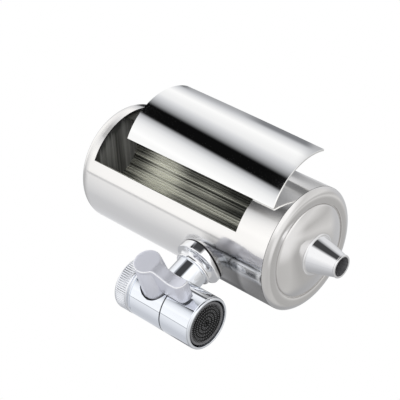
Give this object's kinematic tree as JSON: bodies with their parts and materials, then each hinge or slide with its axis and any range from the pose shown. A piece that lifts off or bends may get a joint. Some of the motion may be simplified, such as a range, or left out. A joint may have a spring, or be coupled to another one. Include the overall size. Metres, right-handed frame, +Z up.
{
  "type": "faucet mount water filter",
  "caption": "Ribbed faucet nut, diverter valve with lever and aerator, and side pipe to a cutaway steel canister with a conical outlet and hollow fibres",
  "frame": {"origin": "centre of the faucet nut's open mouth, on the axis of the faucet thread", "axes": "+Z up out of the nut along the faucet thread, +X from the valve to the canister, -Y the side of the lever"},
  "size_m": [0.1167, 0.0759, 0.1544],
  "materials": {
    "chrome_nut": "bright chrome plate with fine ribs",
    "chrome": "mirror chrome plate",
    "satin_chrome": "satin chrome plate",
    "chrome_flange": "mirror chrome plate",
    "spout_chrome": "mirror chrome plate",
    "steel_shell": "satin polished stainless steel",
    "steel_panel": "satin polished stainless steel",
    "steel_cap": "spun satin stainless steel",
    "steel_plate": "dark brushed stainless steel",
    "steel_mesh": "woven stainless wire",
    "brass": "machined brass",
    "rubber": "black moulded rubber",
    "spray_plastic": "dark grey moulded plastic",
    "resin": "cast resin",
    "fibre": "beige hollow fibres laid side by side"
  },
  "bodies": {
    "nut": {"faucet_nut": "chrome_nut", "faucet_washer": "rubber", "inlet_screen": "steel_mesh"},
    "valve": {"swivel_collar": "chrome", "valve_body": "chrome", "port_seats": "rubber", "gland_ring": "brass", "aerator_housing": "chrome", "aerator_gasket": "rubber", "spray_insert": "spray_plastic", "flow_straightener": "spray_plastic", "side_pipe": "chrome"},
    "lever": {"lever": "satin_chrome", "valve_rotor": "brass", "rotor_seals": "rubber"},
    "canister": {"inlet_spigot": "brass", "spigot_seals": "rubber", "escutcheon": "chrome_flange", "saddle_gasket": "rubber", "canister_shell": "steel_shell", "cut_panel": "steel_panel", "front_cap": "steel_cap", "outlet_spout": "spout_chrome", "cap_seal": "rubber", "potting_disc": "resin", "end_plate": "steel_plate", "fibre_bundle": "fibre"}
  },
  "joints": [
    {"name": "nut_swivel", "type": "hinge", "parent": "nut", "child": "valve", "pos_m": [0, 0, -0.0088], "axis": [0, 0, 1], "continuous": true},
    {"name": "lever_turn", "type": "hinge", "parent": "valve", "child": "lever", "pos_m": [0, 0, -0.0218], "axis": [0, -1, 0], "range_deg": [0, 90]},
    {"name": "canister_swivel", "type": "hinge", "parent": "valve", "child": "canister", "pos_m": [0.0218, 0, -0.0218], "axis": [1, 0, 0], "range_deg": [-90, 90]}
  ]
}
